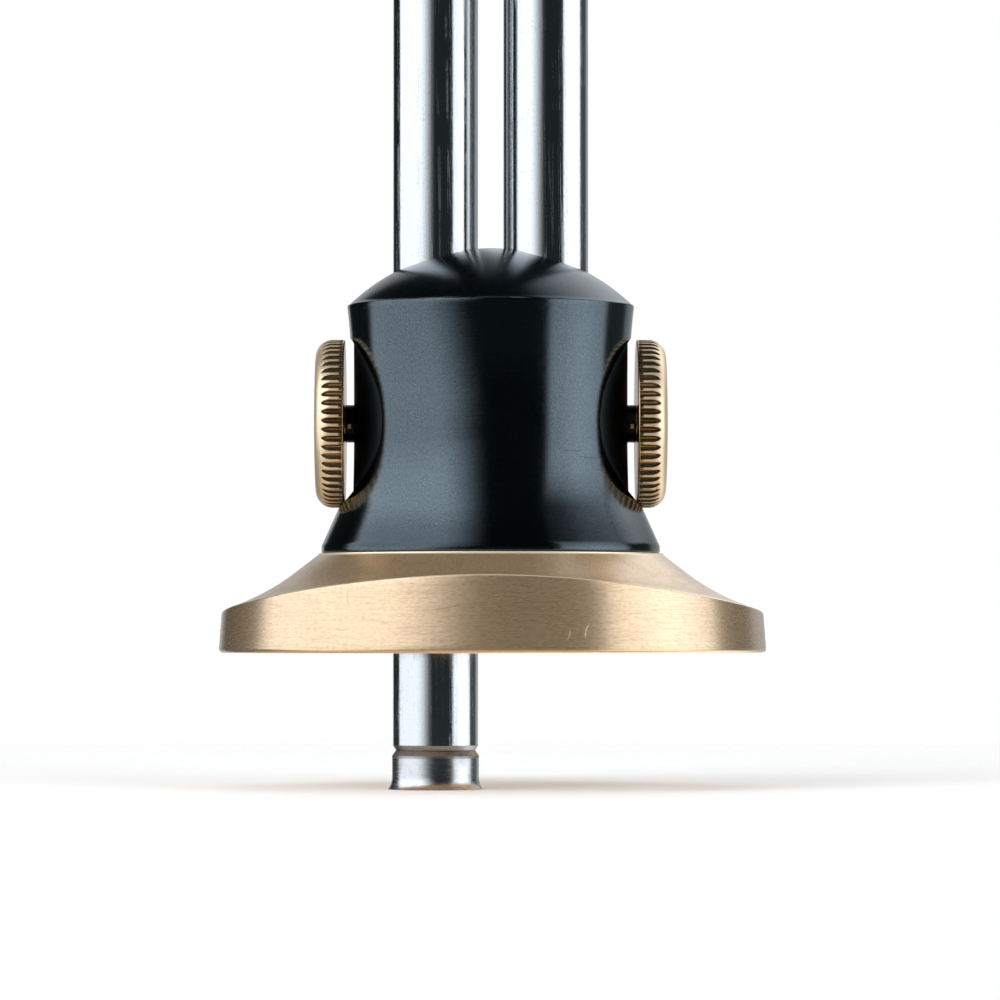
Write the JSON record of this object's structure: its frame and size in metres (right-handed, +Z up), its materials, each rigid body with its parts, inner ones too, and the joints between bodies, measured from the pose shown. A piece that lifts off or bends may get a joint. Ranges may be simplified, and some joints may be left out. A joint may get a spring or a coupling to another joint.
{
  "type": "dual marking gauge",
  "caption": "Marking gauge with wheel cutters on round rods that slide through one bell-shaped head, locked by knurled thumbscrews above an eccentric round fence.",
  "frame": {"origin": "on the body's axis, midway between the rods, in the plane of the fence's flat working face", "axes": "+Z up along the rods, away from the work; +X from the left thumbscrew to the right one; -Y to the front, where the fence's rim comes closest to the body"},
  "size_m": [0.0517, 0.0517, 0.2199],
  "materials": {
    "body": "black anodised, satin gloss",
    "fence_plate": "satin, brushed round the rim",
    "fence_screw_front": "plain machined steel",
    "fence_screw_back": "plain machined steel",
    "left_rod": "polished ground steel",
    "right_rod": "polished ground steel",
    "left_cutter_wheel": "hardened, ground",
    "right_cutter_wheel": "hardened, ground",
    "left_cutter_screw": "plain machined steel",
    "right_cutter_screw": "plain machined steel",
    "left_thumbscrew": "turned and straight knurled",
    "right_thumbscrew": "turned and straight knurled",
    "left_clamp_pad": "plain nylon",
    "right_clamp_pad": "plain nylon",
    "left_brake_ring": "plain black rubber",
    "right_brake_ring": "plain black rubber"
  },
  "bodies": {
    "head": {"body": "body", "fence_plate": "fence_plate", "fence_screw_front": "fence_screw_front", "fence_screw_back": "fence_screw_back", "left_brake_ring": "left_brake_ring", "right_brake_ring": "right_brake_ring"},
    "left_rod_body": {"left_rod": "left_rod", "left_cutter_screw": "left_cutter_screw"},
    "right_rod_body": {"right_rod": "right_rod", "right_cutter_screw": "right_cutter_screw"},
    "left_wheel_body": {"left_cutter_wheel": "left_cutter_wheel"},
    "right_wheel_body": {"right_cutter_wheel": "right_cutter_wheel"},
    "left_clamp_body": {"left_clamp_pad": "left_clamp_pad"},
    "right_clamp_body": {"right_clamp_pad": "right_clamp_pad"},
    "left_screw_body": {"left_thumbscrew": "left_thumbscrew"},
    "right_screw_body": {"right_thumbscrew": "right_thumbscrew"}
  },
  "joints": [
    {"name": "left_rod_slide", "type": "slide", "parent": "head", "child": "left_rod_body", "axis": [0, 0, -1], "range_m": [-0.013, 0.145]},
    {"name": "right_rod_slide", "type": "slide", "parent": "head", "child": "right_rod_body", "axis": [0, 0, -1], "range_m": [0, 0.158]},
    {"name": "left_wheel_turn", "type": "hinge", "parent": "left_rod_body", "child": "left_wheel_body", "pos_m": [-0.00515, 0, -0.011], "axis": [0, 0, 1], "continuous": true},
    {"name": "right_wheel_turn", "type": "hinge", "parent": "right_rod_body", "child": "right_wheel_body", "pos_m": [0.00515, 0, 0.002], "axis": [0, 0, 1], "continuous": true},
    {"name": "left_clamp_slide", "type": "slide", "parent": "head", "child": "left_clamp_body", "axis": [-1, 0, 0], "range_m": [0, 0.00105]},
    {"name": "right_clamp_slide", "type": "slide", "parent": "head", "child": "right_clamp_body", "axis": [1, 0, 0], "range_m": [0, 0.00105]},
    {"name": "left_thumbscrew_turn", "type": "hinge", "parent": "left_clamp_body", "child": "left_screw_body", "pos_m": [-0.01361, 0, 0.0214], "axis": [-1, 0, 0], "range_deg": [0, 540]},
    {"name": "right_thumbscrew_turn", "type": "hinge", "parent": "right_clamp_body", "child": "right_screw_body", "pos_m": [0.01361, 0, 0.0214], "axis": [1, 0, 0], "range_deg": [0, 540]}
  ],
  "couplings": [
    {"joint": "left_clamp_slide", "follows": "left_thumbscrew_turn", "m_per_rad": 0.0001114},
    {"joint": "right_clamp_slide", "follows": "right_thumbscrew_turn", "m_per_rad": 0.0001114}
  ]
}
